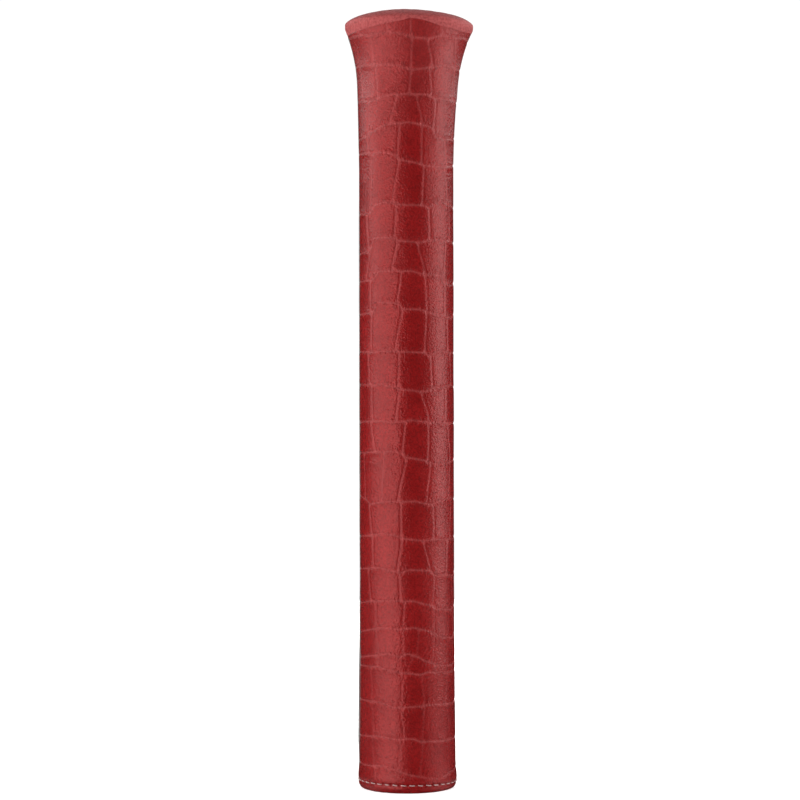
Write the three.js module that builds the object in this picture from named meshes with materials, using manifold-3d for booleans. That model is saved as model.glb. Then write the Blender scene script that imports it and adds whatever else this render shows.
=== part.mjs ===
// A leather-covered, non-tapering putter grip: an embossed leather sleeve with a flared butt at the top,
// a stitched hem round the mouth at the bottom, and a foam core with a rubber tube for the club's shaft.
// Millimetres, +Z up along the shaft. The origin is the centre of the mouth's end face.
import * as THREE from "three";
import { mergeVertices } from "three/addons/utils/BufferGeometryUtils.js";
import Module from "manifold-3d";

const wasm = await Module();
wasm.setup();

// Driving dimensions
const LENGTH = 266; // mouth to butt: the trade's 10.5 in putter grip
const BODY_RADIUS = 16.36;
const SEGMENTS = 36; // facets round every turned piece

// The butt's flare is a long gentle swell with a shorter, steeper lip on top of it.
const SWELL = { from: 212, rise: 2.4, length: 50.2, power: 1.5 };
const LIP = { from: 242, rise: 3.45, length: 20.2, power: 2.1 };
const MOUTH_SWELL = { from: 52, rise: 0.35, length: 44 };
const HEM_SWELL = { from: 9, rise: 0.27, length: 4 };

// Layers, each measured inwards from the leather's face
const LEATHER = 1.2;
const LINING = 0.5;
const GLUE_GAP = 0.1;
const LINING_OUTSIDE = LEATHER + GLUE_GAP;
const LINING_INSIDE = LINING_OUTSIDE + LINING;
const CORE_OUTSIDE = LINING_INSIDE + GLUE_GAP;

// Mouth
const HEM_EDGE = 0.8; // the leather's lowest point, above the rubber ring's end face
const HEM_TOP = 8; // the turned-in leather ends here
const HEM_STITCH = 3; // height of the row of stitches
const THREAD = 0.3; // radius of the sewing thread
const RING = { radius: 13.7, height: 6, counterbore: 3, chamfer: 0.6 };

// Bore for a shaft of 0.580 in
const BORE_RADIUS = 7.37;
const TUBE_WALL = 1.6;
const TUBE_RADIUS = BORE_RADIUS + TUBE_WALL;
const BORE_TOP = 252; // where the shaft's end stops
const CORE_TOP = 254;

// Butt
const BUTT_SEAM = 261; // between the sleeve and the cap
const SEAM_GAP = 0.3;
const BUTT_RADIUS = 22.2; // 1.75 in across, the most the rules allow
const RIM_ROUND = 2.6;
const VENT_RADIUS = 1.25;
const FLANGE_BOTTOM = CORE_TOP + 0.3; // the plug's flange, on the foam
const DISH = { floor: 256.8, floorRadius: 15.4, top: 261.5, topRadius: 17.9 }; // inside the plug
const CUSHION_TOP = LENGTH - LEATHER - GLUE_GAP;

// Seam down the sleeve, on the -X side
const SLOT_WIDTH = 1.2;
const WELT_WIDTH = 0.6;
const WELT_PROUD = 0.3;
const STRIP_HALF_ANGLE = 18;

// Heights at which the sleeve's outline bends enough to need a point
const STATIONS = [9, 52, 212, 222, 232, 242, 247, 251, 254.5, 257.5];

const share = (z, from, length) => THREE.MathUtils.clamp((z - from) / length, 0, 1);

function outerRadius(z) {
  const swell = SWELL.rise * share(z, SWELL.from, SWELL.length) ** SWELL.power;
  const lip = LIP.rise * share(z, LIP.from, LIP.length) ** LIP.power;
  const mouth = MOUTH_SWELL.rise * share(-z, -MOUTH_SWELL.from, MOUTH_SWELL.length);
  const hem = HEM_SWELL.rise * share(-z, -HEM_SWELL.from, HEM_SWELL.length);
  return BODY_RADIUS + swell + lip + mouth + hem;
}

// Points [radius, height] on the sleeve's outline, moved inwards, from one height up to another
function outline(low, high, inwards = 0) {
  const heights = [low, ...STATIONS.filter((z) => z > low && z < high), high];
  return heights.map((z) => [outerRadius(z) - inwards, z]);
}

// Points on an arc, with angles in degrees from the outward direction
function arc(radius, height, size, start, end, steps) {
  return Array.from({ length: steps + 1 }, (_, i) => {
    const angle = THREE.MathUtils.degToRad(start + ((end - start) * i) / steps);
    return [radius + size * Math.cos(angle), height + size * Math.sin(angle)];
  });
}

// A ring turned about Z from a closed section, whose points run anticlockwise
function turned(section) {
  const points = [...section, section[0]].map(([r, z]) => new THREE.Vector2(r, z));
  return new THREE.LatheGeometry(points, SEGMENTS).rotateX(Math.PI / 2);
}

function solidOf(geometry) {
  const bare = geometry.clone();
  bare.deleteAttribute("normal");
  bare.deleteAttribute("uv");
  const merged = mergeVertices(bare, 1e-4);
  return new wasm.Manifold(
    new wasm.Mesh({
      numProp: 3,
      vertProperties: merged.attributes.position.array,
      triVerts: new Uint32Array(merged.index.array),
    }),
  );
}

function geometryOf(solid) {
  const mesh = solid.getMesh();
  const geometry = new THREE.BufferGeometry();
  geometry.setAttribute("position", new THREE.BufferAttribute(mesh.vertProperties, 3));
  geometry.setIndex(new THREE.BufferAttribute(mesh.triVerts, 1));
  geometry.computeVertexNormals();
  return geometry;
}

// A flat plate that stands on the -X side, cut to an outline of [radius, height] points
function sidePlate(points, width) {
  const shape = new THREE.Shape(points.map(([r, z]) => new THREE.Vector2(r, z)));
  const plate = new THREE.ExtrudeGeometry(shape, { depth: width, bevelEnabled: false });
  return plate.rotateX(Math.PI / 2).translate(0, width / 2, 0).rotateZ(Math.PI);
}

// A wedge about -X that is wider than the grip, for cutting the shells at the seam
function seamWedge(halfAngle) {
  const reach = 2 * BUTT_RADIUS;
  const side = reach * Math.tan(THREE.MathUtils.degToRad(halfAngle));
  const shape = new THREE.Shape([
    new THREE.Vector2(0, 0),
    new THREE.Vector2(-reach, side),
    new THREE.Vector2(-reach, -side),
  ]);
  return new THREE.ExtrudeGeometry(shape, { depth: LENGTH, bevelEnabled: false });
}

// The embossed sheet, rolled into a tube with its hem turned in at the mouth and an open slot at the seam
function leatherWrap() {
  const hemMiddle = HEM_EDGE + LEATHER;
  const hemRadius = outerRadius(hemMiddle);
  const grooveDepth = 0.7;
  const grooveHalf = 0.4;
  const edgeRound = 0.4;
  const top = BUTT_SEAM - SEAM_GAP / 2;
  const groove = [
    [outerRadius(HEM_STITCH), HEM_STITCH - grooveHalf],
    [outerRadius(HEM_STITCH) - grooveDepth, HEM_STITCH - grooveHalf],
    [outerRadius(HEM_STITCH) - grooveDepth, HEM_STITCH + grooveHalf],
    [outerRadius(HEM_STITCH), HEM_STITCH + grooveHalf],
  ];
  const section = [
    ...arc(hemRadius - LEATHER, hemMiddle, LEATHER, -180, 0, 8),
    ...groove,
    ...outline(5, top - edgeRound),
    [outerRadius(top) - edgeRound, top],
    ...outline(HEM_TOP + edgeRound, top, LEATHER).reverse(),
    [outerRadius(HEM_TOP) - 2 * LEATHER, HEM_TOP],
  ];
  const slot = new THREE.BoxGeometry(BUTT_RADIUS, SLOT_WIDTH, 2 * LENGTH)
    .translate(-BUTT_RADIUS / 2 - BORE_RADIUS, 0, 0);
  return geometryOf(solidOf(turned(section)).subtract(solidOf(slot)));
}

// The cloth backing's full shell, which the seam's strip and the backing share
function backingShell() {
  const low = HEM_TOP + 0.6;
  const high = BUTT_SEAM - 1.5;
  return solidOf(turned([
    ...outline(low, high, LINING_OUTSIDE),
    ...outline(low, high, LINING_INSIDE).reverse(),
  ]));
}

// The backing stops short of the strip on each side
const wrapLining = () =>
  geometryOf(backingShell().subtract(solidOf(seamWedge(STRIP_HALF_ANGLE + 1))));

// The reinforcing strip that the sleeve's two long edges are glued to
const seamStrip = () =>
  geometryOf(backingShell().intersect(solidOf(seamWedge(STRIP_HALF_ANGLE))));

// The welt between the sleeve's long edges. It stands a little proud of the leather, and is notched where
// the stitches cross it.
function seamWelt() {
  const low = HEM_EDGE + LEATHER;
  const high = BUTT_SEAM - 0.8;
  const inside = LEATHER - 0.1;
  const notch = { half: 0.4, depth: 0.7 };
  const proud = ([r, z]) => [r + WELT_PROUD * (1 - share(z, SWELL.from, high - SWELL.from)), z];
  const outside = [
    ...outline(low, HEM_STITCH - notch.half).map(proud),
    ...outline(HEM_STITCH - notch.half, HEM_STITCH + notch.half, notch.depth),
    ...outline(HEM_STITCH + notch.half, high).map(proud),
  ];
  return sidePlate([...outside, ...outline(low, high, inside).reverse()], WELT_WIDTH);
}

// One loop of thread, lying flat round the axis
const threadRing = (radius, height, thickness = THREAD) =>
  new THREE.TorusGeometry(radius, thickness, 6, SEGMENTS).translate(0, 0, height);

// The rubber end ring, chamfered where it shows and counterbored for the tube
function mouthRing() {
  const { radius, height, counterbore, chamfer } = RING;
  const entry = BORE_RADIUS + 0.1;
  return turned([
    [entry + chamfer, 0],
    [radius - chamfer, 0],
    [radius, chamfer],
    [radius, height],
    [TUBE_RADIUS + GLUE_GAP, height],
    [TUBE_RADIUS + GLUE_GAP, counterbore],
    [entry, counterbore],
    [entry, chamfer],
  ]);
}

// The rubber tube that grips the shaft
const shaftTube = () =>
  turned([
    [BORE_RADIUS, RING.counterbore + GLUE_GAP],
    [TUBE_RADIUS, RING.counterbore + GLUE_GAP],
    [TUBE_RADIUS, CORE_TOP],
    [BORE_RADIUS, CORE_TOP],
  ]);

// The foam that fills the sleeve, stepped in where the hem is turned
function foamCore() {
  const bottom = RING.height + 0.2;
  const step = HEM_TOP + 0.6;
  const inside = TUBE_RADIUS + GLUE_GAP;
  const hemInside = outerRadius(HEM_TOP) - 2 * LEATHER - 0.4;
  return turned([
    [inside, bottom],
    [hemInside, bottom],
    [hemInside, step],
    ...outline(step, CORE_TOP, CORE_OUTSIDE),
    [inside, CORE_TOP],
  ]);
}

// The moulded plug: a spigot in the tube, a floor on the foam, and a flared wall that holds the butt's shape
function buttPlug() {
  const spigotRadius = BORE_RADIUS - 0.15;
  return turned([
    [VENT_RADIUS, BORE_TOP],
    [spigotRadius, BORE_TOP],
    [spigotRadius, FLANGE_BOTTOM],
    ...outline(FLANGE_BOTTOM, DISH.top, LINING_INSIDE + 0.2),
    [DISH.topRadius, DISH.top],
    [DISH.floorRadius, DISH.floor],
    [VENT_RADIUS, DISH.floor],
  ]);
}

// The soft pad in the plug's dish, which crowns the butt
function buttCushion() {
  const overWall = BUTT_RADIUS - LEATHER - 1.3;
  const round = 1.2;
  return turned([
    [VENT_RADIUS, DISH.floor + 0.2],
    [DISH.floorRadius - 0.2, DISH.floor + 0.2],
    [DISH.topRadius - 0.1, DISH.top + 0.3],
    [overWall, DISH.top + 0.3],
    ...arc(overWall - round, CUSHION_TOP - round, round, 0, 90, 3),
    [VENT_RADIUS, CUSHION_TOP],
  ]);
}

// The leather cap: a disc drawn over the butt's rim and down to the seam
function buttCap() {
  const low = BUTT_SEAM + SEAM_GAP / 2;
  const middle = LENGTH - RIM_ROUND;
  const centre = BUTT_RADIUS - RIM_ROUND;
  const edgeRound = 0.4;
  const steps = 5;
  return turned([
    [outerRadius(low) - LEATHER, low],
    [outerRadius(low) - edgeRound, low],
    [outerRadius(low + edgeRound), low + edgeRound],
    ...arc(centre, middle, RIM_ROUND, 0, 90, steps),
    [VENT_RADIUS, LENGTH],
    [VENT_RADIUS, LENGTH - LEATHER],
    ...arc(centre, middle, RIM_ROUND - LEATHER, 90, 0, steps),
  ]);
}

const LOOKS = {
  leather: new THREE.MeshStandardMaterial({ color: 0x8c2629, roughness: 0.32, metalness: 0 }),
  backing: new THREE.MeshStandardMaterial({ color: 0x4b4a48, roughness: 0.95, metalness: 0 }),
  welt: new THREE.MeshStandardMaterial({ color: 0x6b6864, roughness: 0.7, metalness: 0 }),
  thread: new THREE.MeshStandardMaterial({ color: 0xc7a5a3, roughness: 0.6, metalness: 0 }),
  redThread: new THREE.MeshStandardMaterial({ color: 0x6a1a1c, roughness: 0.6, metalness: 0 }),
  foam: new THREE.MeshStandardMaterial({ color: 0x36373a, roughness: 0.9, metalness: 0 }),
  rubber: new THREE.MeshStandardMaterial({ color: 0x2b2c2b, roughness: 0.75, metalness: 0 }),
  nylon: new THREE.MeshStandardMaterial({ color: 0x1d1d1f, roughness: 0.5, metalness: 0 }),
};

const hemThreadRadius = outerRadius(HEM_STITCH) - 0.25;
const bobbinRadius = outerRadius(HEM_STITCH) - 2 * LEATHER - THREAD - 0.08;
const buttThreadRadius = outerRadius(BUTT_SEAM) - LEATHER - 0.35;

const PIECES = [
  ["leather_wrap", leatherWrap(), LOOKS.leather],
  ["wrap_lining", wrapLining(), LOOKS.backing],
  ["seam_strip", seamStrip(), LOOKS.backing],
  ["seam_welt", seamWelt(), LOOKS.welt],
  ["hem_thread", threadRing(hemThreadRadius, HEM_STITCH), LOOKS.thread],
  ["hem_bobbin_thread", threadRing(bobbinRadius, HEM_STITCH, 0.25), LOOKS.thread],
  ["butt_cap_leather", buttCap(), LOOKS.leather],
  ["butt_seam_thread", threadRing(buttThreadRadius, BUTT_SEAM, 0.25), LOOKS.redThread],
  ["butt_cushion", buttCushion(), LOOKS.foam],
  ["butt_plug", buttPlug(), LOOKS.nylon],
  ["foam_core", foamCore(), LOOKS.foam],
  ["shaft_tube", shaftTube(), LOOKS.rubber],
  ["mouth_ring", mouthRing(), LOOKS.rubber],
];

const grip = new THREE.Group();
for (const [name, geometry, material] of PIECES) {
  const mesh = new THREE.Mesh(geometry, material);
  mesh.name = name;
  grip.add(mesh);
}

export default grip;
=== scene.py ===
"""The looks of a leather-covered putter grip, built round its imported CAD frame.

Lengths are millimetres until a mesh is made, but the lights and the camera are in metres. Angles are degrees
round the grip: 0 faces the camera (-Y), 90 is +X, and -90, the left edge, is the sleeve's seam. Heights run
up from the mouth's end face.
"""
import math
import random

import bpy
import numpy as np
from mathutils import Matrix, Vector


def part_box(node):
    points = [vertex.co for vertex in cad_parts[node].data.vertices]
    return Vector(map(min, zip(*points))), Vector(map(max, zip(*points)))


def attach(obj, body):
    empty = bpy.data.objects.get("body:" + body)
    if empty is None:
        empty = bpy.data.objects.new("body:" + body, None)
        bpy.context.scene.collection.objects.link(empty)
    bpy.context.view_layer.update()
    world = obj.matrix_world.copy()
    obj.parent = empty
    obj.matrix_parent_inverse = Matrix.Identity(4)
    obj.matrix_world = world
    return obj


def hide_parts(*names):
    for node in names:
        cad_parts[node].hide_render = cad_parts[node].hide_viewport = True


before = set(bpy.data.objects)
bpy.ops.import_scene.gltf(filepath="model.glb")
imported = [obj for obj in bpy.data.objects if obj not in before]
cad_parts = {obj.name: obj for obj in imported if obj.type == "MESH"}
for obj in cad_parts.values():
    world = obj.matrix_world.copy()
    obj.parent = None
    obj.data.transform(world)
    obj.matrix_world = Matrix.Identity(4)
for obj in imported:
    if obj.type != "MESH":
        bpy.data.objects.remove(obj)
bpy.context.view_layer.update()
MM = 0.001
BODY = "root"

# Sizes read from the frame, in millimetres
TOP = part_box("butt_cap_leather")[1].z / MM
BUTT_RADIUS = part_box("butt_cap_leather")[1].x / MM
CORE_LOW, CORE_HIGH = (corner.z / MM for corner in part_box("foam_core"))
RING_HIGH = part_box("mouth_ring")[1].z / MM
RING_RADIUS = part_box("mouth_ring")[1].x / MM
TUBE_LOW, TUBE_HIGH = (corner.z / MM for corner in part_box("shaft_tube"))
TUBE_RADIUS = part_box("shaft_tube")[1].x / MM
CUSHION_LOW, CUSHION_HIGH = (corner.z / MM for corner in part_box("butt_cushion"))

# The layers of the sleeve, as in the frame
BODY_RADIUS = 16.36
LEATHER = 1.2  # thickness of the leather
GLUE = 0.1  # gap between one layer and the next
BORE_RADIUS = 7.37
VENT_RADIUS = 1.25
HEM_EDGE = 0.05
HEM_FOLD = 3.2  # height of the hem's rounded lower edge
HEM_MIDDLE = HEM_EDGE + HEM_FOLD
HEM_TOP = 8.0  # where the turned-in leather ends
SEAM_ANGLE = -90
LEATHER_TOP = 260.85  # mean height of the sleeve's upper edge
CAP_LOW = 260.95  # mean height of the cap's lower edge
CUT_ROUND = 0.1  # radius of the leather's cut edges
CAP_RISE = 2.6  # how far the padded cap domes above the frame's flat end
DOME_EDGE = 17.0  # radius where the dome's rounded rim starts
SLUMP_FROM = 222  # height from which the flare leans and its leather dulls

# Where each row of scales ends, from the butt down: (angle, height) points across the front, left to right
CAP_SEAM = [
    (-71, 259.6), (-51, 259.8), (-26, 260.9), (-7, 261.9), (1, 262.8), (10, 262.4), (30, 260.7), (57, 260),
]
CREASES = [
    [(-70, 258.5), (-40, 258.2), (-12, 258.1), (3, 256.5), (20, 256.3), (35, 257.6), (50, 257.8),
     (80, 258.4)],
    [(-70, 248.9), (-33, 248.1), (-12, 247.4), (4, 245.8), (27, 246.9), (45, 248)],
    [(-66, 236.8), (-37, 236.4), (-20, 237.6), (23, 237.7), (32, 236.5), (75, 237)],
    [(-70, 223.8), (-43, 226), (-27, 227.4), (2, 228.2), (27, 227), (35, 225.7), (39, 223.4), (75, 223.5)],
    [(-66, 218.8), (-31, 218.2), (-18, 217.5), (-7, 215.4), (11, 214.5), (22, 213.6), (46, 213.6)],
    [(-75, 198), (-50, 197.8), (-42, 200.5), (-28, 201.2), (-7, 200.2), (20, 200), (28, 199.4), (46, 201.8)],
    [(-75, 184.4), (-50, 185), (-44, 189.2), (-19, 189.1), (-7, 187.8), (17, 187.5), (46, 188.7)],
    [(-76, 174.7), (-45, 175), (-36, 177.8), (7, 177.6), (20, 176.6), (45, 176.4), (50, 174.5), (68, 173.2)],
    [(-76, 163.3), (-45, 164), (-39, 167.3), (-11, 166.6), (-5, 164.7), (17, 164.6), (30, 163.4), (71, 162)],
    [(-77, 150.5), (-20, 150.4), (22, 149.9), (30, 148.6), (34, 149.6), (45, 150.4), (70, 150.1)],
    [(-77, 139.1), (-33, 139.1), (-15, 138.2), (-7, 137.5), (17, 136.7), (30, 137), (37, 138), (67, 138.9)],
    [(-78, 126.2), (-33, 126.8), (-14, 126.1), (5, 127), (30, 126.1), (67, 125.8)],
    [(-69, 115.7), (-20, 116.4), (-11, 116.1), (-2, 114.4), (22, 113.2), (32, 112.1), (67, 112.6)],
    [(-79, 100.8), (-60, 99.6), (-50, 98.3), (-27, 99.2), (11, 99.3), (29, 98), (45, 99.4), (66, 100.4)],
    [(-79, 86.9), (-54, 87.3), (-34, 88.3), (-18, 88), (-5, 86.7), (21, 85.9), (44, 86.4), (74, 85.8)],
    [(-80, 75.6), (-37, 76.6), (-14, 75.4), (-8, 75.1), (3, 76.1), (26, 75.7), (44, 74.1), (73, 73.2)],
    [(-81, 63.8), (-41, 65.3), (-18, 65.5), (8, 65.4), (25, 64.1), (44, 62.3), (66, 61.7)],
    [(-81, 53.7), (-34, 56.2), (-8, 55.9), (8, 56.4), (26, 55.2), (44, 52.9), (73, 51.9)],
    [(-80, 45.1), (-50, 46.3), (-23, 47.5), (-10, 46.4), (1, 47.6), (12, 46.5), (21, 45.1), (44, 43),
     (71, 42.6)],
    [(-80, 42.3), (-37, 42.8), (-18, 41.4), (16, 40.4), (25, 41.1), (71, 40.2)],
    [(-79, 30.6), (-34, 30.8), (-15, 29.2), (10, 29.6), (31, 30), (70, 29.5)],
    [(-77, 18.2), (-34, 19.2), (-14, 18.5), (6, 18.7), (15, 17.6), (43, 17.4), (69, 17.2)],
    [(-60, 8.6), (-46, 8.8), (-29, 9.4), (-12, 7.7), (6, 6.2), (28, 4.9), (42, 4.6), (57, 6)],
]
# The grooves that part the scales of each row across the front: (angle at its top, angle at its bottom)
GROOVES = [
    [(-21, -20), (1, 2), (33, 35)],
    [(-40, -41), (3, 3), (20, 28), (53, 62)],
    [(-39, -37), (3, 2), (26, 30)],
    [(-13, -20), (11, 19), (36, 35)],
    [(-9, -11), (19, 19)],
    [(-10, -17), (22, 20)],
    [(-56, -52), (-13, -15), (29, 30)],
    [(-50, -57), (-12, -18), (14, 23), (55, 51)],
    [(-7, -12), (24, 26), (53, 53)],
    [(-6, -14), (25, 23), (57, 59)],
    [(-53, -51), (-10, -11), (31, 33)],
    [(-47, -46), (-10, -14), (19, 28)],
    [(-48, -42), (-3, -6), (28, 27)],
    [(-2, -11), (30, 25)],
    [(-52, -48), (-8, -8), (34, 35)],
    [(-46, -45), (-7, -12), (21, 29)],
    [(-54, -50), (-10, -9), (36, 33)],
    [(-41, -40), (-4, -6), (35, 35)],
    [(-40, -37), (-6, -6), (14, 12), (35, 33)],
    [(-38, -38), (37, 37)],
    [(-48, -46), (-7, -8), (18, 21), (55, 52)],
    [(-46, -43), (-8, -5), (21, 18)],
    [(-46, -43), (-9, -11), (19, 15), (56, 57)],
    [(-40, -41), (2, 4)],
]
# Short creases inside scales
WRINKLES = [
    [(46, 209.5), (55, 210.1), (78, 211)],
    [(-75, 210.2), (-52, 208.3)],
    [(-39, 161.6), (-27, 159.8), (-16, 158.1)],
    [(-77, 154), (-57, 153.2)],
    [(36, 153.4), (45, 152.9), (62, 152.2)],
    [(-78, 112.9), (-44, 112.7), (-33, 111.1), (-20, 108.2), (-12, 107.4)],
    [(-68, 4.9), (-60, 5.6), (-53, 4.9)],
]

PATTERN_SEED = 11


def share(value, start, length):
    """How far value is from start to start + length, from 0 to 1."""
    return np.clip((np.asarray(value, float) - start) / length, 0, 1)


def smooth(value):
    return value * value * (3 - 2 * value)


def outer_radius(height):
    """The leather's mean outer face: the frame's own outline."""
    swell = 2.4 * share(height, 212, 50.2) ** 1.5
    lip = 3.45 * share(height, 242, 20.2) ** 2.1
    mouth = 0.35 * (1 - share(height, 8, 44)) + 0.27 * (1 - share(height, 5, 4))
    return BODY_RADIUS + swell + lip + mouth


def lean(height):
    """How far the flare has slumped towards +X."""
    return 1.08 * share(height, SLUMP_FROM, 42) ** 1.1


def tip(x, height):
    """How far the slumped flare's top drops on its +X side."""
    return -0.012 * x * smooth(share(height, 250, 14))


def dome_drop(radius):
    """How far the butt's domed end lies below its crest: a shallow bowl with a rounded rim."""
    rim = 1.2 * (1 - np.sqrt(1 - share(radius, DOME_EDGE, BUTT_RADIUS - DOME_EDGE) ** 2))
    return 0.008 * radius**2 + rim


def lattice_noise(angle, height, cell_angle, cell_height, seed):
    """Smooth noise from -1 to 1, with a random value at each corner of a lattice on the unrolled sleeve."""
    size = 256
    values = np.random.RandomState(seed).uniform(-1, 1, (size, size))
    u, v = (np.asarray(angle, float) + 180) / cell_angle, np.asarray(height, float) / cell_height
    i, j = np.floor(u).astype(int), np.floor(v).astype(int)
    a, b = smooth(u - i), smooth(v - j)

    def corner(di, dj):
        return values[(i + di) % size, (j + dj) % size]

    low = corner(0, 0) * (1 - a) + corner(1, 0) * a
    high = corner(0, 1) * (1 - a) + corner(1, 1) * a
    return low * (1 - b) + high * b


class Crease:
    """A line round the sleeve, from the seam to the seam again, where a closed one meets itself."""

    STEP = 0.5
    ANGLES = np.arange(SEAM_ANGLE, SEAM_ANGLE + 360 + STEP, STEP)

    def __init__(self, front, rng, wander=0.9, closed=False):
        middle = sum(height for _, height in front) / len(front)
        back = [(angle, middle + rng.uniform(-wander, wander)) for angle in range(104, 271, 27)]
        if closed:
            back[-1] = (SEAM_ANGLE + 360, front[0][1])
        angles, heights = zip(*(front + back))
        raw = np.interp(self.ANGLES, angles, heights)
        reach = np.arange(-5, 5 + self.STEP, self.STEP)
        kernel = np.exp(-((reach / 1.6) ** 2))
        padded = np.pad(raw, len(reach) // 2, mode="edge")
        self.heights = np.convolve(padded, kernel / kernel.sum(), mode="valid")

    def at(self, angle):
        return np.interp(angle, self.ANGLES, self.heights)


def cap_seam(rng=None):
    """The line where the cap meets the sleeve."""
    return Crease(CAP_SEAM, rng or random.Random(PATTERN_SEED), 0.3, closed=True)


def filled_grooves(front, rng):
    """The row's front grooves, and others at about the same pitch where none are laid."""
    pitch = 34
    ends = [(SEAM_ANGLE, SEAM_ANGLE), *front, (SEAM_ANGLE + 360, SEAM_ANGLE + 360)]
    grooves = []
    for left, right in zip(ends, ends[1:]):
        grooves.append(left)
        gap = right[0] - left[0]
        extra = max(0, round(gap / pitch) - 1)
        for i in range(extra):
            middle = left[0] + gap * (i + 1) / (extra + 1) + rng.uniform(-3.5, 3.5)
            slant = rng.uniform(-3, 3)
            grooves.append((middle - slant, middle + slant))
    return [*grooves, ends[-1]]


def relief(angle, height):
    """The scale pattern: its height over the leather's mean face, and how near a groove and a crease are.

    Both nearnesses run from 0 to 1.
    """
    rng = random.Random(PATTERN_SEED)
    seam_line = cap_seam(rng)
    creases = [seam_line, *(Crease(points, rng) for points in CREASES)]
    lines = np.array([crease.at(angle) for crease in creases])
    slopes = np.gradient(lines, axis=-1) / (np.gradient(np.radians(angle), axis=-1) * BODY_RADIUS)
    to_creases = np.abs(height - lines) / np.sqrt(1 + slopes**2)
    # the cap's seam is an edge of the leather and not a crease in it
    to_crease = to_creases[1:].min(axis=0)
    row = (height[None] < lines).sum(axis=0) - 1
    radius = outer_radius(height)
    to_groove = np.full(angle.shape, 99.0)
    across, along = np.zeros(angle.shape), np.zeros(angle.shape)
    lift = np.zeros(angle.shape)
    for index in range(len(creases)):
        here = row == index
        top = lines[index]
        bottom = lines[index + 1] if index + 1 < len(lines) else np.zeros(angle.shape)
        down = ((top - height) / np.maximum(top - bottom, 0.5))[here]
        grooves = filled_grooves(GROOVES[index], rng)
        places = np.array([a + (b - a) * smooth(down) for a, b in grooves])
        theta = angle[here]
        gaps = np.abs(theta - places) * math.pi / 180 * radius[here]
        to_groove[here] = gaps[1:-1].min(axis=0)
        column = np.clip((places <= theta).sum(axis=0) - 1, 0, len(grooves) - 2)
        left = np.take_along_axis(places, column[None], 0)[0]
        right = np.take_along_axis(places, column[None] + 1, 0)[0]
        across[here] = 2 * (theta - left) / (right - left) - 1
        along[here] = 2 * down - 1
        tilts = np.array([[rng.uniform(-1, 1) for _ in range(3)] for _ in grooves])[column]
        lift[here] = 0.03 * tilts[:, 0] + 0.05 * tilts[:, 1] * across[here] + 0.05 * tilts[:, 2] * along[here]
    blend = 0.5
    to_groove = to_groove + 0.08
    edge = -blend * np.log(np.exp(-to_crease / blend) + np.exp(-to_groove / blend))
    edge = np.maximum(edge, 0)
    for points in WRINKLES:
        angles, heights = zip(*points)
        line = np.interp(angle, angles, heights)
        fade = smooth(share(angle, angles[0], 6)) * (1 - smooth(share(angle, angles[-1] - 6, 6)))
        distance = np.abs(height - line) + 3 * (1 - fade)
        edge = np.minimum(edge, distance + 0.25)
    depth = 1 + 0.25 * lattice_noise(angle, height, 9, 4, 5)
    soften = 1 - 0.6 * (1 - share(height, 45, 40))
    groove = np.exp(-((edge / 0.34) ** 2))
    shoulder = np.exp(-edge / 0.9)
    fold = np.exp(-to_crease / 1.1)
    groove = groove * np.where(to_crease < to_groove, 1, soften)
    inside = 1 - np.exp(-((edge / 1.2) ** 2))
    crumple = lattice_noise(angle, height, 3.4, 1.1, 6) + 0.6 * lattice_noise(angle, height, 1.9, 0.7, 7)
    swell = lattice_noise(angle, height, 14, 6, 8)
    surface = (
        -0.16 * depth * groove
        - 0.05 * shoulder
        - 0.06 * np.exp(-((to_crease / 0.8) ** 2))
        + inside * (lift - 0.10 * (1 - across**2)) * soften
        + 0.035 * crumple * fold
        + 0.020 * swell * inside
    )
    return surface, groove, fold


def outward(mesh):
    """Turns the faces of a closed mesh outwards."""
    mesh.calc_loop_triangles()
    corners = np.zeros(len(mesh.loop_triangles) * 3, int)
    mesh.loop_triangles.foreach_get("vertices", corners)
    points = np.zeros(len(mesh.vertices) * 3)
    mesh.vertices.foreach_get("co", points)
    a, b, c = points.reshape(-1, 3)[corners].reshape(-1, 3, 3).transpose(1, 0, 2)
    if np.einsum("ij,ij->i", a, np.cross(b, c)).sum() < 0:
        mesh.flip_normals()


def make_piece(name, points, faces, material, replaced):
    """A piece of the grip from points in millimetres."""
    mesh = bpy.data.meshes.new(name)
    mesh.from_pydata((np.asarray(points, float) * MM).tolist(), [], [list(face) for face in faces])
    mesh.update()
    outward(mesh)
    mesh.polygons.foreach_set("use_smooth", [True] * len(mesh.polygons))
    mesh.materials.append(material)
    piece = bpy.data.objects.new(name, mesh)
    bpy.context.scene.collection.objects.link(piece)
    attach(piece, BODY)
    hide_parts(*replaced)
    return piece


def mark(piece, name, values):
    """Keeps a value at each point of a piece for its material."""
    layer = piece.data.attributes.new(name, "FLOAT", "POINT")
    layer.data.foreach_set("value", values.astype(np.float32).ravel())


def skin_faces(sections, places, closed):
    """Quads over a grid whose first direction closes on itself, and whose second does if closed is set."""
    i, j = np.mgrid[0:sections, 0 : places if closed else places - 1]
    below, beside = (i + 1) % sections, (j + 1) % places
    corners = [i * places + j, below * places + j, below * places + beside, i * places + beside]
    quads = np.stack(corners, axis=-1)
    faces = quads.reshape(-1, 4).tolist()
    if not closed:
        faces.append([k * places for k in range(sections)])
        faces.append([k * places + places - 1 for k in reversed(range(sections))])
    return faces


def around(radius, angle, height, shift=0.0):
    """Points in millimetres at radii, angles in degrees and heights."""
    turn = np.radians(angle)
    return np.stack([radius * np.sin(turn) + shift, -radius * np.cos(turn), height + 0 * turn], axis=-1)


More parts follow.
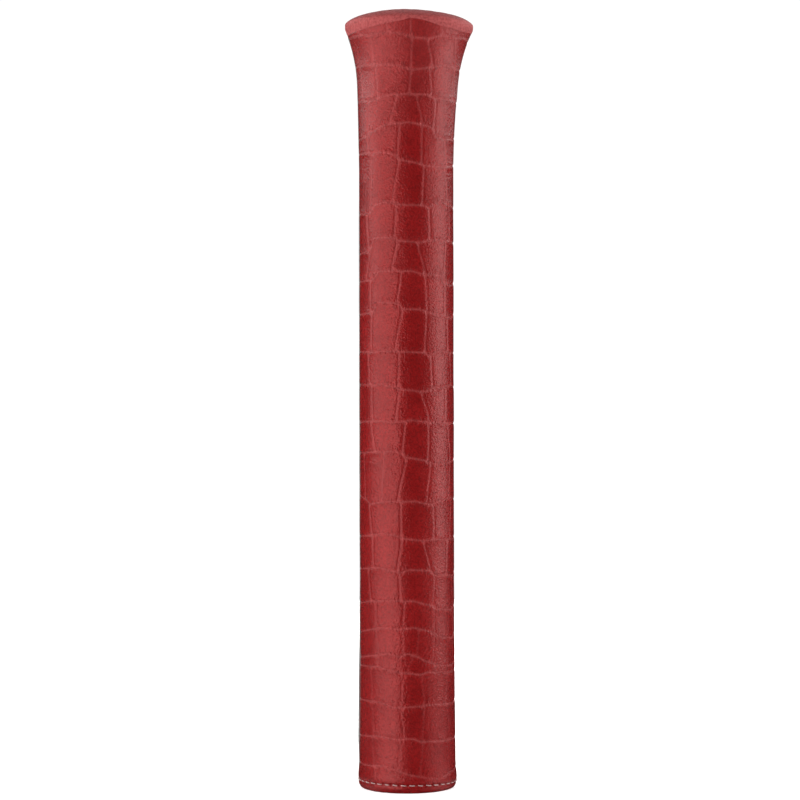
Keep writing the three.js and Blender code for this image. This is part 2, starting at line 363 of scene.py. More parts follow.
def turned(name, section, material, replaced, segments=144, wave=None, leans=False):
    """A ring turned about Z from a closed section of (radius, height) points.

    wave adds to the radius, and a ring that leans follows the slumped flare.
    """
    radius, height = (np.array(values, float)[:, None] for values in zip(*section))
    angle = np.arange(segments)[None] * 360 / segments
    if wave is not None:
        radius = radius + wave(angle, radius, height)
    shift = lean(height) / 2 if leans else 0
    grid = around(radius, angle + 0 * radius, height + 0 * angle, shift)
    faces = skin_faces(len(section), segments, True)
    return make_piece(name, grid.reshape(-1, 3), faces, material, replaced)


def arc(radius, height, size, start, end, steps):
    """(radius, height) points on an arc, with angles in degrees from the outward direction."""
    turns = [math.radians(start + (end - start) * i / steps) for i in range(steps + 1)]
    return [(radius + size * math.cos(t), height + size * math.sin(t)) for t in turns]


# ---------------------------------------------------------------- materials


class Nodes:
    """A material's node tree, with short ways to add to it."""

    def __init__(self, name, roughness, **sockets):
        self.material = bpy.data.materials.new(name)
        self.material.use_nodes = True
        self.tree = self.material.node_tree
        self.shader = self.tree.nodes["Principled BSDF"]
        self.shader.inputs["Roughness"].default_value = roughness
        for socket, value in sockets.items():
            self.shader.inputs[socket.replace("_", " ")].default_value = value
        self.place = self.add("ShaderNodeTexCoord").outputs["Object"]

    def add(self, kind, **values):
        node = self.tree.nodes.new(kind)
        for key, value in values.items():
            setattr(node, key, value)
        return node

    def link(self, output, target):
        self.tree.links.new(output, target)

    def noise(self, size, detail, stretch=(1, 1, 1)):
        """Noise from 0 to 1 whose blotches are about size millimetres across."""
        mapping = self.add("ShaderNodeMapping")
        mapping.inputs["Scale"].default_value = [s / (size * MM) for s in stretch]
        self.link(self.place, mapping.inputs["Vector"])
        node = self.add("ShaderNodeTexNoise")
        node.inputs["Scale"].default_value = 1
        node.inputs["Detail"].default_value = detail
        self.link(mapping.outputs["Vector"], node.inputs["Vector"])
        return node.outputs["Fac"]

    def cells(self, size):
        """The distance to the nearest of points about size millimetres apart."""
        node = self.add("ShaderNodeTexVoronoi")
        node.inputs["Scale"].default_value = 1 / (size * MM)
        self.link(self.place, node.inputs["Vector"])
        return node.outputs["Distance"]

    def span(self, value, low, high, start=0.0, end=1.0):
        """value from start..end, spread to low..high and held there."""
        node = self.add("ShaderNodeMapRange")
        self.link(value, node.inputs["Value"])
        for socket, number in (("From Min", start), ("From Max", end), ("To Min", low), ("To Max", high)):
            node.inputs[socket].default_value = number
        return node.outputs["Result"]

    def math(self, operation, *values):
        node = self.add("ShaderNodeMath", operation=operation)
        for socket, value in zip(node.inputs, values):
            if isinstance(value, (int, float)):
                socket.default_value = value
            else:
                self.link(value, socket)
        return node.outputs["Value"]

    def mix(self, share_value, first, second):
        """A colour between two, each a colour or an output."""
        node = self.add("ShaderNodeMix", data_type="RGBA")
        self.link(share_value, node.inputs["Factor"])
        for socket, colour in ((node.inputs[6], first), (node.inputs[7], second)):
            if isinstance(colour, tuple):
                socket.default_value = (*colour, 1)
            else:
                self.link(colour, socket)
        return node.outputs[2]

    def bump(self, height, depth, under=None):
        """A bump of depth millimetres, over another bump if one is given."""
        node = self.add("ShaderNodeBump")
        node.inputs["Distance"].default_value = depth * MM
        self.link(height, node.inputs["Height"])
        if under is not None:
            self.link(under, node.inputs["Normal"])
        return node.outputs["Normal"]

    def finish(self, colour, roughness, normal):
        for output, socket in ((colour, "Base Color"), (roughness, "Roughness"), (normal, "Normal")):
            self.link(output, self.shader.inputs[socket])
        return self.material


LEATHER_RED = (0.122, 0.0036, 0.0038)
LEATHER_DARK = (0.074, 0.0019, 0.0021)
LEATHER_LIGHT = (0.148, 0.0054, 0.0056)
# A pale red: partly a rubbed dye and partly painted light, on the cap and in the sleeve's grooves.
RUBBED_AND_LIT_RED = (0.245, 0.0470, 0.0460)
RUBBED_AND_LIT_DARK = (0.130, 0.0170, 0.0170)


def leather_material(name, sheen, fade, painted_groove_light, grain_depth, shine=0.5):
    """Crocodile-embossed hide: a cloudy aniline red with fine pores, painted light and shade in its grooves,
    and a dulled flare.

    sheen is the polish's roughness. fade is how far the colour goes towards the pale red, from 0 to 1,
    with a little more on the flare; on the cap that pale red is partly a rubbed dye and partly painted
    light from above. painted_groove_light paints the grooves paler, as painted reflections, and darker,
    as painted shade, where it is negative.
    grain_depth is in millimetres, and shine is the specular level.
    """
    nodes = Nodes(name, sheen, Specular_Tint=(1, 0.31, 0.30, 1), Specular_IOR_Level=shine, IOR=1.5)
    clouds = nodes.noise(9, 4)
    speckle = nodes.noise(0.7, 3)
    pores = nodes.cells(0.5)
    creping = nodes.noise(0.75, 2, (1, 1, 0.45))
    colour = nodes.mix(nodes.span(clouds, 0, 1, 0.35, 0.65), LEATHER_RED, LEATHER_LIGHT)
    spots = nodes.span(speckle, 0, 0.78, 0.42, 0.66)
    colour = nodes.mix(spots, colour, LEATHER_DARK)
    groove = nodes.add("ShaderNodeAttribute", attribute_name="groove").outputs["Fac"]
    fold = nodes.add("ShaderNodeAttribute", attribute_name="fold").outputs["Fac"]
    split = nodes.add("ShaderNodeSeparateXYZ")
    nodes.link(nodes.place, split.inputs["Vector"])
    flare = nodes.span(split.outputs["Z"], 0, 1, SLUMP_FROM * MM, 246 * MM)
    # Painted light: the pale red stands partly for light from above on the cap and for reflections in the
    # sleeve's groove walls, and the cap's grooves are kept darker as painted shade.
    rubbed_and_painted_light = nodes.math("ADD", nodes.span(flare, fade, fade + 0.12), nodes.span(groove, 0, painted_groove_light))
    colour = nodes.mix(rubbed_and_painted_light, colour, nodes.mix(spots, RUBBED_AND_LIT_RED, RUBBED_AND_LIT_DARK))
    rough = nodes.span(speckle, sheen - 0.04, sheen + 0.06, 0.3, 0.7)
    rough = nodes.math("ADD", rough, nodes.math("MULTIPLY", groove, 0.12))
    rough = nodes.math("ADD", rough, nodes.math("MULTIPLY", flare, 0.05))
    grain = nodes.bump(pores, 0.05)
    grain = nodes.bump(speckle, grain_depth, grain)
    grain = nodes.bump(nodes.math("MULTIPLY", creping, fold), 0.5, grain)
    return nodes.finish(colour, rough, grain)


def edge_material():
    """The welt: a leather strip whose dark grey colour is painted shade, a shadowed line along the seam's
    edge.
    """
    nodes = Nodes("welt_painted_shade", 0.55)
    wear = nodes.noise(1.2, 4)
    # The dark grey is painted shade along the seam's edge, with lighter patches where the wear noise is high.
    colour = nodes.mix(nodes.span(wear, 0, 1, 0.35, 0.7), (0.095, 0.092, 0.089), (0.175, 0.170, 0.165))
    return nodes.finish(colour, nodes.span(wear, 0.45, 0.7), nodes.bump(wear, 0.06))


def thread_material(name, light, dark):
    """Twisted waxed thread: slanted plies round the grip, painted lighter on their crowns as a highlight and
    darker between them as shade.
    """
    nodes = Nodes(name, 0.5, Sheen_Weight=0.2)
    plies = nodes.add("ShaderNodeTexWave", bands_direction="DIAGONAL")
    plies.inputs["Scale"].default_value = 1 / (1.1 * MM)
    plies.inputs["Distortion"].default_value = 1.5
    nodes.link(nodes.place, plies.inputs["Vector"])
    twist = plies.outputs["Fac"]
    # Painted highlight on each ply's crown, painted shade between the plies.
    colour = nodes.mix(nodes.span(twist, 0, 1), dark, light)
    return nodes.finish(colour, nodes.span(twist, 0.6, 0.42), nodes.bump(twist, 0.08))


def cloth_material():
    """Woven backing: two sets of yarns that cross."""
    nodes = Nodes("backing_cloth", 0.92, Sheen_Weight=0.3)
    yarns = []
    for direction in ("X", "Z"):
        wave = nodes.add("ShaderNodeTexWave", bands_direction=direction)
        wave.inputs["Scale"].default_value = 1 / (2.2 * MM)
        nodes.link(nodes.place, wave.inputs["Vector"])
        yarns.append(wave.outputs["Fac"])
    weave = nodes.math("MULTIPLY", *yarns)
    lint = nodes.noise(3, 4)
    colour = nodes.mix(nodes.span(weave, 0, 1), (0.045, 0.045, 0.047), (0.10, 0.10, 0.098))
    colour = nodes.mix(nodes.span(lint, 0, 0.4, 0.5, 0.8), colour, (0.13, 0.13, 0.125))
    return nodes.finish(colour, nodes.span(weave, 0.98, 0.85), nodes.bump(weave, 0.2))


def foam_material():
    """Closed-cell EVA: small round cells of uneven tone."""
    nodes = Nodes("eva_foam", 0.85)
    cells = nodes.cells(0.7)
    clouds = nodes.noise(6, 3)
    colour = nodes.mix(nodes.span(cells, 0, 1, 0.1, 0.6), (0.022, 0.022, 0.025), (0.045, 0.046, 0.05))
    colour = nodes.mix(nodes.span(clouds, 0, 0.5, 0.4, 0.7), colour, (0.06, 0.06, 0.065))
    return nodes.finish(colour, nodes.span(cells, 0.95, 0.75, 0.1, 0.6), nodes.bump(cells, 0.25))


def rubber_material():
    """Moulded rubber with a light bloom and a faint mould texture."""
    nodes = Nodes("moulded_rubber", 0.7)
    bloom = nodes.noise(4, 5)
    texture = nodes.noise(0.35, 2)
    colour = nodes.mix(nodes.span(bloom, 0, 1, 0.35, 0.7), (0.014, 0.014, 0.014), (0.034, 0.034, 0.033))
    return nodes.finish(colour, nodes.span(bloom, 0.6, 0.8, 0.3, 0.7), nodes.bump(texture, 0.06))


def nylon_material():
    """Moulded nylon with a spark-eroded texture."""
    nodes = Nodes("black_nylon", 0.5)
    texture = nodes.noise(0.5, 3)
    flow = nodes.noise(5, 2, (1, 1, 0.3))
    colour = nodes.mix(nodes.span(flow, 0, 1, 0.35, 0.65), (0.009, 0.009, 0.010), (0.017, 0.017, 0.019))
    return nodes.finish(colour, nodes.span(texture, 0.42, 0.58, 0.3, 0.7), nodes.bump(texture, 0.05))


MATERIALS = {
    # The sleeve's grooves are painted paler, as reflections in their walls.
    "leather": leather_material("polished_leather", 0.19, 0.0, 0.4, 0.17),
    # The cap is painted paler, as light from above over a rubbed dye, and its grooves darker as painted
    # shade.
    "cap": leather_material("rubbed_leather_painted_light", 0.48, 0.90, -0.5, 0.30, 0.25),
    # The welt's dark grey is painted shade along the seam.
    "welt": edge_material(),
    # Each thread's paler colour is its painted highlight and its darker one its painted shade.
    "thread": thread_material("pale_thread", (0.38, 0.26, 0.25), (0.21, 0.11, 0.10)),
    "butt_thread": thread_material("red_thread", (0.16, 0.012, 0.012), (0.06, 0.004, 0.004)),
    "backing": cloth_material(),
    "foam": foam_material(),
    "rubber": rubber_material(),
    "nylon": nylon_material(),
}

# ---------------------------------------------------------------- pieces

STITCHES = 36
STITCH_PITCH = 360 / STITCHES
STITCH_PHASE = 5.0  # degrees from the seam to the first stitch's middle
THREAD_RADIUS = 0.165
SLOT_HALF = 0.42  # half the width of the slot between the sleeve's long edges
GRID = 0.34  # spacing of the sleeve's mesh


def stitch_height(angle):
    """The stitch line sits a little lower at the back and on the +X side."""
    turn = np.radians(angle)
    return 2.5 + 0.35 * np.cos(turn) - 0.3 * np.sin(turn)


def hem_dents(angle, height):
    """How the stitches pull the hem in: a shallow channel, with a dent at each needle hole."""
    off = height - stitch_height(angle)
    phase = (angle - SEAM_ANGLE - STITCH_PHASE + STITCH_PITCH / 2) % STITCH_PITCH
    sideways = np.minimum(phase, STITCH_PITCH - phase) * math.pi / 180 * BODY_RADIUS
    channel = 0.16 * np.exp(-((off / 0.55) ** 2))
    holes = 0.50 * np.exp(-((off / 0.36) ** 2) - (sideways / 0.36) ** 2)
    puff = 0.10 * np.exp(-(((off - 1.6) / 0.9) ** 2)) + 0.06 * np.exp(-(((off + 1.3) / 0.7) ** 2))
    return puff - channel - holes


def leather_sleeve():
    """The sleeve: an embossed outside, a plain inside, a turned hem at the mouth and a slot at the seam.

    Its section is (height, depth under the outer face, weight of the relief) points, from the hem up the
    outside, down the inside and round the hem's fold.
    """
    seam_line = cap_seam()
    face = np.arange(HEM_MIDDLE, LEATHER_TOP - CUT_ROUND, GRID)
    section = [(height, 0.0, 1.0) for height in face]
    for turn in (25, 50, 90):
        rise, into = math.sin(math.radians(turn)), 1 - math.cos(math.radians(turn))
        section.append((LEATHER_TOP - CUT_ROUND * (1 - rise), CUT_ROUND * into, 1 - rise))
    section += [(LEATHER_TOP, LEATHER - 0.2, 0), (LEATHER_TOP - 0.2, LEATHER, 0)]
    flare = [258, 255, 252, 248, 243, 236, 228, 220, 212]
    body = [190, 165, 140, 115, 90, 70, 52, 30, 14, HEM_TOP + 0.3]
    section += [(height, LEATHER, 0) for height in flare + body]
    section += [(HEM_TOP, LEATHER + 0.15, 0), (HEM_TOP, 2 * LEATHER - 0.3, 0)]
    section += [(height, 2 * LEATHER, 0) for height in (HEM_TOP - 0.3, 6, 4.5)]
    for degrees in [*range(180, 270, 15), *range(270, 360, 5)]:
        turn = math.radians(degrees)
        into = LEATHER - LEATHER * math.cos(turn)
        section.append((HEM_MIDDLE + HEM_FOLD * math.sin(turn), into, max(0, math.cos(turn))))
    heights, depths, weights = (np.array(values)[:, None] for values in zip(*section))
    places = int(2 * math.pi * BODY_RADIUS / GRID)
    spread = np.linspace(0, 1, places)[None]
    start = np.degrees(np.arcsin(SLOT_HALF / outer_radius(heights)))
    angle = SEAM_ANGLE + start + (360 - 2 * start) * spread
    warp = share(heights, 246, LEATHER_TOP - 246)
    height = heights + (seam_line.at(angle) - LEATHER_TOP) * warp
    shape, groove, fold = relief(angle, height)
    fade = share(height, 2.5, 4) * weights
    radius = outer_radius(np.maximum(height, HEM_MIDDLE)) - depths
    outside = weights > 0
    radius = radius + np.where(outside, shape * fade + hem_dents(angle, height) * weights, 0)
    # the long edges are thinned and rounded towards the welt
    to_slot = np.minimum(spread, 1 - spread) * 2 * math.pi * BODY_RADIUS
    radius = radius - np.where(outside, 0.25 * np.exp(-((to_slot / 0.5) ** 2)) * weights, 0)
    shift = lean(height) * np.where(depths < LEATHER / 2, 1, 0.5)
    grid = around(radius, angle, height, shift)
    grid[..., 2] += tip(grid[..., 0], grid[..., 2])
    faces = skin_faces(len(section), places, False)
    look = MATERIALS["leather"]
    sleeve = make_piece("leather_sleeve", grid.reshape(-1, 3), faces, look, ["leather_wrap"])
    # The groove mask also sets where the leather is painted paler, as reflections in the groove walls.
    mark(sleeve, "groove", groove * fade)
    mark(sleeve, "fold", fold * fade)
    return sleeve


def round_scales(x, y, pitch, seed):
    """Distance from the nearest border between cells round jittered points of a lattice."""
    rng = np.random.RandomState(seed)
    reach = int(BUTT_RADIUS / pitch) + 2
    cells = [(i, j) for i in range(-reach, reach + 1) for j in range(-reach, reach + 1)]
    centres = np.array([((i + 0.5 * (j % 2)) * pitch, j * pitch * 0.87) for i, j in cells])
    centres += rng.uniform(-0.22, 0.22, centres.shape) * pitch
    distance = np.sqrt((x[..., None] - centres[:, 0]) ** 2 + (y[..., None] - centres[:, 1]) ** 2)
    nearest = np.partition(distance, 1, axis=-1)
    return (nearest[..., 1] - nearest[..., 0]) / 2


def butt_cap():
    """The leather drawn over the butt: a smooth band, a domed end and small round scales on it."""
    seam_line = cap_seam()
    crest = TOP + CAP_RISE
    foot = outer_radius(CAP_LOW)

    def under_crest(radius, depth=0.0):
        return radius, crest - float(dome_drop(radius)) - depth

    section = [(foot - LEATHER, CAP_LOW + 0.2), (foot - CUT_ROUND, CAP_LOW)]
    for turn in (50, 25, 0):
        rise, into = math.sin(math.radians(turn)), 1 - math.cos(math.radians(turn))
        section.append((foot - CUT_ROUND * into, CAP_LOW + CUT_ROUND * (1 - rise)))
    rim = under_crest(BUTT_RADIUS)[1]
    section += [(outer_radius(height), height) for height in np.arange(CAP_LOW + 0.5, rim - 0.2, 0.35)]
    turns = [math.radians(degrees) for degrees in range(0, 90, 5)]
    section += [under_crest(DOME_EDGE + (BUTT_RADIUS - DOME_EDGE) * math.cos(turn)) for turn in turns]
    section += [under_crest(radius) for radius in np.arange(DOME_EDGE, VENT_RADIUS + 0.5, -0.4)]
    section += arc(VENT_RADIUS + 0.35, crest - 0.35, 0.35, 90, 180, 4)
    inner_from = len(section)
    section += [under_crest(radius, LEATHER) for radius in (VENT_RADIUS, 4, 7, 10, 13, 15, DOME_EDGE)]
    section += [under_crest(19.2, 1.25), under_crest(20.4, 1.6), (BUTT_RADIUS - LEATHER, rim - 0.5)]
    radius, height = (np.array(values, float)[:, None] for values in zip(*section))
    places = 300
    angle = SEAM_ANGLE + np.arange(places)[None] * 360 / places + 0 * radius
    inside = np.arange(len(section))[:, None] >= inner_from
    # the lower edge follows the seam, and the band fades into the level rim above it
    warp = np.where(inside, 0, 1 - share(height, CAP_LOW, 2.0))
    lifted = height + (seam_line.at(angle) - CAP_LOW) * warp
    radius = radius + np.where(warp > 0, outer_radius(lifted) - outer_radius(height), 0)
    x, y = radius * np.sin(np.radians(angle)), -radius * np.cos(np.radians(angle))
    border = round_scales(x, y, 4.6, 3)
    on_top = smooth(1 - share(radius, 15, 4)) * smooth(share(radius, 2.2, 1.2)) * ~inside
    scale = -0.20 * np.exp(-((border / 0.38) ** 2)) - 0.10 * np.exp(-border / 0.8)
    wave = 0.05 * lattice_noise(angle, height * 3, 12, 4, 21) * ~inside
    tuck = -0.06 * np.exp(-(((lifted - seam_line.at(angle)) / 0.5) ** 2)) * ~inside
    shift = lean(height) * np.where(inside, 0.5, 1)
    slump = -0.018 * x * smooth(1 - share(radius, 8, 12)) * ~inside
    band = radius > 18
    grid = around(radius + (wave + tuck) * band, angle, lifted + scale * on_top + slump, shift)
    grid[..., 2] += tip(grid[..., 0], grid[..., 2])
    faces = skin_faces(len(section), places, True)
    look = MATERIALS["cap"]
    cap = make_piece("butt_cap", grid.reshape(-1, 3), faces, look, ["butt_cap_leather"])
    # The groove mask also sets where the cap is painted darker, as shade in its grooves.
    mark(cap, "groove", np.exp(-((border / 0.42) ** 2)) * on_top)
    mark(cap, "fold", 0.3 * np.exp(-border / 1.2) * on_top)
    return cap


def tube_along(path, radius):
    """Points and faces of a closed tube through path, with pointed round ends."""
    sides = 8
    path = np.asarray(path, float)
    tangents = np.gradient(path, axis=0)
    tangents /= np.linalg.norm(tangents, axis=1)[:, None]
    up = np.array([0, 0, 1.0])
    side = np.cross(tangents, up)
    side /= np.linalg.norm(side, axis=1)[:, None]
    lift = np.cross(side, tangents)
    turn = np.arange(sides) * 2 * math.pi / sides
    taper = np.sqrt(np.clip(1 - np.abs(np.linspace(-1, 1, len(path))) ** 6, 0.08, 1))
    ring = np.cos(turn)[None, :, None] * side[:, None] + np.sin(turn)[None, :, None] * lift[:, None]
    points = (path[:, None] + ring * (radius * taper)[:, None, None]).reshape(-1, 3)
    faces = []
    for i in range(len(path) - 1):
        for j in range(sides):
            k = (j + 1) % sides
            faces.append((i * sides + j, (i + 1) * sides + j, (i + 1) * sides + k, i * sides + k))
    faces.append(tuple(range(sides)))
    faces.append(tuple(reversed(range(len(points) - sides, len(points)))))
    return points, faces


def hem_stitches(name, face_radius, outwards, replaced):
    """The stitches round the hem on one face of the leather, each dipping into its needle holes."""
    rng = random.Random(4)
    points, faces = [], []
    for i in range(STITCHES):
        middle = SEAM_ANGLE + STITCH_PHASE + i * STITCH_PITCH
        length = 0.66 * STITCH_PITCH + rng.uniform(-0.9, 0.5)
        slant = rng.uniform(0.02, 0.12)
        along = np.linspace(-1, 1, 11)
        sag = 0.10 - 0.55 * np.abs(along) ** 4
        turn = middle + along * length / 2
        path = around(face_radius + outwards * sag, turn, stitch_height(turn) - slant * along)
        tube, tube_faces = tube_along(path, THREAD_RADIUS)
        faces += [tuple(k + len(points) for k in face) for face in tube_faces]
        points += tube.tolist()
    return make_piece(name, points, faces, MATERIALS["thread"], replaced)


def seam_welt():
    """The strip between the sleeve's long edges, with a rounded top that stands a little proud."""
    half = 0.3  # half its width
    top = 259.2
    foot = [*np.arange(0.35, 3, 0.25), *np.arange(3, 8, 0.5)]
    heights = np.array([*foot, *np.arange(8, top, 1.6), top])
    proud = 0.16 * (1 - smooth(share(heights, 190, 26)))
    proud = proud + 0.36 * smooth(share(heights, 8, 10)) * (1 - smooth(share(heights, 20, 55)))
    proud = proud - 0.2 * np.exp(-(((heights - stitch_height(SEAM_ANGLE)) / 0.5) ** 2))
    proud = proud + 0.04 * lattice_noise(0 * heights, heights, 5, 7, 31) * (heights < 230)
    face = outer_radius(np.maximum(heights, HEM_MIDDLE))
    drawn_in = LEATHER * (1 - np.sqrt(1 - share(HEM_MIDDLE - heights, 0, HEM_FOLD) ** 2))
    inner = face - LEATHER + GLUE - lean(heights) / 2
    outer = face - drawn_in + proud - lean(heights)
    sections = []
    for low, high, height in zip(inner, outer, heights):
        crown = [(high - half * (1 - math.sin(t)), half * math.cos(t)) for t in np.linspace(0, math.pi, 7)]
        loop = [(low, half), *crown, (low, -half)]
        sections.append([(-r, y, height) for r, y in loop])
    grid = np.array(sections).transpose(1, 0, 2)
    faces = skin_faces(grid.shape[0], grid.shape[1], False)
    return make_piece("welt", grid.reshape(-1, 3), faces, MATERIALS["welt"], ["seam_welt"])


def mouth_ring():
    """The rubber ring in the mouth, with rounded edges and moulded ribs on its end face."""
    entry = BORE_RADIUS + GLUE
    counterbore = 3.0
    section = arc(entry + 0.6, 0.6, 0.6, 180, 270, 5)
    for rib in np.arange(9.4, 12.8, 1.1):
        section += [(rib - 0.3, 0), (rib - 0.15, 0.35), (rib + 0.15, 0.35), (rib + 0.3, 0)]
    section += arc(RING_RADIUS - 0.6, 0.6, 0.6, 270, 360, 5)
    section += [(RING_RADIUS, RING_HIGH), (TUBE_RADIUS + GLUE, RING_HIGH)]
    section += [(TUBE_RADIUS + GLUE, counterbore), (entry, counterbore)]
    return turned("mouth_end_ring", section, MATERIALS["rubber"], ["mouth_ring"])


def shaft_tube():
    """The rubber tube, with fine flutes along its bore."""
    heights = np.linspace(TUBE_LOW, TUBE_HIGH, 12)
    section = [(BORE_RADIUS, height) for height in heights[::-1]]
    section += [(TUBE_RADIUS, height) for height in heights]

    def flutes(angle, radius, height):
        return np.where(radius < BORE_RADIUS + 0.1, 0.06 * (1 - np.cos(np.radians(angle * 36))), 0 * height)

    return turned("bore_tube", section, MATERIALS["rubber"], ["shaft_tube"], 288, flutes)


def backing(name, start, end, high, replaced):
    """Woven backing glued under the leather from one angle to another, up to a height."""
    levels = (8.7, 30, 60, 120, 190, 212, 222, 228, 234, 240, 244, 247)
    heights = [*(height for height in levels if height < high), high]
    outer = [(height, LEATHER + 0.06) for height in heights]
    inner = [(height, LEATHER + 0.52) for height in heights[::-1]]
    heights, depths = (np.array(values)[:, None] for values in zip(*outer, *inner))
    angle = np.linspace(start, end, round((end - start) / 1.8))[None] + 0 * heights
    grid = around(outer_radius(heights) - depths, angle, heights + 0 * angle, lean(heights) / 2)
    faces = skin_faces(len(heights), angle.shape[1], False)
    return make_piece(name, grid.reshape(-1, 3), faces, MATERIALS["backing"], replaced)


def foam_core():
    """The EVA core, which swells very slightly between its ends."""
    inner = TUBE_RADIUS + GLUE
    step = HEM_TOP + 0.6  # where the core widens, just above the turned-in leather
    hem_inside = float(outer_radius(HEM_TOP)) - 2 * LEATHER - 0.4
    heights = [step + 0.4, 20, 52, 100, 150, 212, 225, 236, 244, 249, 252, CORE_HIGH - 0.6]
    section = [(inner, CORE_LOW + 0.5), (inner + 0.5, CORE_LOW)]
    section += [(hem_inside - 0.5, CORE_LOW), (hem_inside, CORE_LOW + 0.5), (hem_inside, step)]
    section += [(float(outer_radius(height)) - 1.9, height) for height in heights]
    section += [(float(outer_radius(CORE_HIGH)) - 2.5, CORE_HIGH), (inner, CORE_HIGH)]
    core = turned("eva_core", section, MATERIALS["foam"], ["foam_core"], 96, leans=True)
    return core


def butt_pad():
    """The soft pad under the cap, crowned in the middle and tucked into the plug's dish."""
    top = CUSHION_HIGH
    crown = CAP_RISE - 0.1
    section = [(VENT_RADIUS, CUSHION_LOW + 0.4), (VENT_RADIUS + 0.4, CUSHION_LOW)]
    section += [(14.6, CUSHION_LOW), (15.2, CUSHION_LOW + 0.4), (16.6, 260.2), (17.8, 261.9), (19.2, 261.9)]
    section += arc(18.0, top - 1.8, 1.3, 0, 80, 5)
    radii = (16, 14, 12, 10, 8, 6, 4, VENT_RADIUS + 0.3)
    section += [(radius, top - 0.4 + crown * (1 - (radius / 18) ** 2)) for radius in radii]
    section += [(VENT_RADIUS, top - 0.8 + crown)]
    pad = turned("butt_pad", section, MATERIALS["foam"], ["butt_cushion"], 96)
    return pad


def dress_frame():
    """Gives the CAD nodes that stay their materials."""
    keeps = {"butt_seam_thread": "butt_thread", "butt_plug": "nylon"}
    for node, look in keeps.items():
        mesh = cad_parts[node].data
        mesh.materials.clear()
        mesh.materials.append(MATERIALS[look])


leather_sleeve()
butt_cap()
seam_welt()
stitch_face = float(outer_radius(3))
hem_stitches("hem_stitches", stitch_face, 1, ["hem_thread"])
hem_stitches("hem_bobbin_stitches", stitch_face - 2 * LEATHER - 0.05, -1, ["hem_bobbin_thread"])
# degrees either side of the seam
strip_half = 17.8
lining_gap = 19.2
backing("cloth_lining", SEAM_ANGLE + lining_gap, SEAM_ANGLE + 360 - lining_gap, 250.0, ["wrap_lining"])
backing("backing_strip", SEAM_ANGLE - strip_half, SEAM_ANGLE + strip_half, 252.0, ["seam_strip"])
mouth_ring()
shaft_tube()
foam_core()
butt_pad()
dress_frame()

# ---------------------------------------------------------------- studio


def plain_disc(name, radius, height, colour, glow):
    """A round sheet of plain, faintly backlit floor, centred under the grip."""
    mesh = bpy.data.meshes.new(name)
    sides = 96
    turns = [2 * math.pi * i / sides for i in range(sides)]
    points = [(radius * math.cos(turn), radius * math.sin(turn), height) for turn in turns]
    mesh.from_pydata(points, [], [list(range(sides))])
    disc = bpy.data.objects.new(name, mesh)
    bpy.context.scene.collection.objects.link(disc)
    material = bpy.data.materials.new(name)
    material.use_nodes = True
    shader = material.node_tree.nodes["Principled BSDF"]
    shader.inputs["Base Color"].default_value = (*colour, 1)
    shader.inputs["Roughness"].default_value = 0.9
    shader.inputs["Emission Color"].default_value = (1, 1, 1, 1)
    shader.inputs["Emission Strength"].default_value = glow
    shader.inputs["Specular IOR Level"].default_value = 0
    mesh.materials.append(material)
    return disc


def softbox(name, bearing, distance, height, size, radiance, roll=0, pitch=0, glossy=True):
    """A rectangular light that faces the grip from a bearing in degrees, then tips down and rolls."""
    data = bpy.data.lights.new(name, "AREA")
    data.shape = "RECTANGLE"
    data.size, data.size_y = size
    data.energy = radiance * math.pi * size[0] * size[1]
    light = bpy.data.objects.new(name, data)
    turn = math.radians(bearing)
    place = Vector((distance * math.sin(turn), -distance * math.cos(turn), height))
    aim = (Vector((0, 0, height)) - place).normalized()
    facing = aim.to_track_quat("-Z", "Y").to_matrix().to_4x4()
    tilt = Matrix.Rotation(math.radians(-pitch), 4, "X") @ Matrix.Rotation(math.radians(roll), 4, "Z")
    light.matrix_world = Matrix.Translation(place) @ facing @ tilt
    light.visible_camera = False
    light.visible_glossy = glossy
    bpy.context.scene.collection.objects.link(light)
    return light


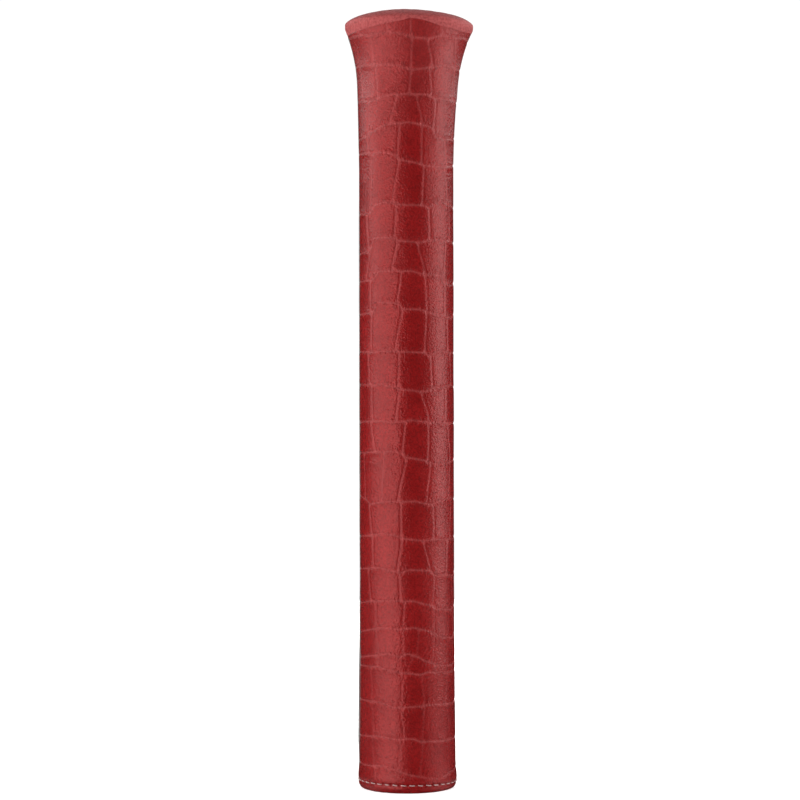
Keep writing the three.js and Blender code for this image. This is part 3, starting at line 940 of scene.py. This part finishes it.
def studio():
    """A room that is white to the camera, and nearly dark to a reflection, but for a glow from below.

    The glow lies to either side of the grip, where the flare's undercut sides mirror the pale floor.
    """
    world = bpy.data.worlds.new("studio")
    bpy.context.scene.world = world
    world.use_nodes = True
    tree = world.node_tree
    tree.nodes.clear()

    def backdrop(strength):
        node = tree.nodes.new("ShaderNodeBackground")
        node.inputs["Color"].default_value = (1, 1, 1, 1)
        if isinstance(strength, float):
            node.inputs["Strength"].default_value = strength
        else:
            tree.links.new(strength, node.inputs["Strength"])
        return node.outputs["Background"]

    def calculate(operation, first, second):
        node = tree.nodes.new("ShaderNodeMath")
        node.operation = operation
        for socket, value in zip(node.inputs, (first, second)):
            if isinstance(value, float):
                socket.default_value = value
            else:
                tree.links.new(value, socket)
        return node.outputs["Value"]

    def choose(share_value, first, second):
        node = tree.nodes.new("ShaderNodeMixShader")
        tree.links.new(share_value, node.inputs["Fac"])
        tree.links.new(first, node.inputs[1])
        tree.links.new(second, node.inputs[2])
        return node.outputs["Shader"]

    direction = tree.nodes.new("ShaderNodeSeparateXYZ")
    tree.links.new(tree.nodes.new("ShaderNodeTexCoord").outputs["Generated"], direction.inputs["Vector"])
    downward = calculate("SUBTRACT", calculate("MULTIPLY", direction.outputs["Z"], -3.0), 0.5)
    downward = calculate("MINIMUM", calculate("MAXIMUM", downward, 0.0), 0.9)
    aside = calculate("SUBTRACT", calculate("ABSOLUTE", direction.outputs["X"], 0.0), 0.55)
    aside = calculate("MULTIPLY", calculate("MAXIMUM", aside, 0.0), 3.4)
    glow = calculate("MULTIPLY", downward, aside)
    sheen = backdrop(calculate("ADD", glow, 0.025))
    path = tree.nodes.new("ShaderNodeLightPath")
    room = choose(path.outputs["Is Glossy Ray"], backdrop(0.6), sheen)
    output = tree.nodes.new("ShaderNodeOutputWorld")
    tree.links.new(choose(path.outputs["Is Camera Ray"], room, backdrop(1.05)), output.inputs["Surface"])
    table = plain_disc("table", 0.75, -0.02 * MM, (0.95, 0.95, 0.95), 0.2)
    table.visible_glossy = False
    # bearing, then distance, height and size in metres, and radiance
    softbox("left_softbox", -64, 0.5, 0.13, (0.38, 1.30), 3.4, roll=44)
    softbox("far_left_softbox", -31, 2.0, 0.28, (0.32, 1.50), 7.4, roll=55)
    softbox("high_left_softbox", -118, 0.5, 0.53, (0.40, 0.50), 1.7)
    softbox("right_softbox", 92, 0.5, 0.42, (0.26, 0.80), 3.4)
    softbox("inner_right_softbox", 66, 0.5, 0.24, (0.14, 0.45), 3.3, roll=50)
    softbox("high_right_softbox", 128, 0.5, 0.54, (0.36, 0.50), 1.9)
    softbox("low_right_softbox", 66, 0.5, -0.15, (0.36, 0.34), 1.5)
    softbox("front_softbox", 0, 0.75, 0.85, (0.9, 0.4), 2.6, pitch=45)
    softbox("back_softbox", 180, 0.9, 0.75, (0.9, 0.7), 0.7, pitch=30)
    softbox("top_softbox", 0, 0.01, 1.0, (0.8, 0.8), 8.0)
    softbox("left_fill", -112, 0.7, 0.20, (0.6, 0.8), 1.2, glossy=False)
    softbox("right_fill", 108, 0.7, 0.20, (0.6, 0.8), 1.6, glossy=False)


def camera():
    """A level view from mid-height, 0.8 m from the axis, with the grip a little right of the middle."""
    data = bpy.data.cameras.new("camera")
    data.sensor_width = 36
    data.lens = 103.8
    data.clip_start, data.clip_end = 0.05, 50
    view = bpy.data.objects.new("camera", data)
    place = Matrix.Translation((-2.35 * MM, -0.8, 133.85 * MM))
    roll = Matrix.Rotation(math.radians(0.13), 4, "Y")
    view.matrix_world = place @ roll @ Matrix.Rotation(math.radians(90), 4, "X")
    bpy.context.scene.collection.objects.link(view)
    bpy.context.scene.camera = view


studio()
camera()
bpy.context.scene.view_settings.view_transform = "Standard"

bpy.context.view_layer.update()
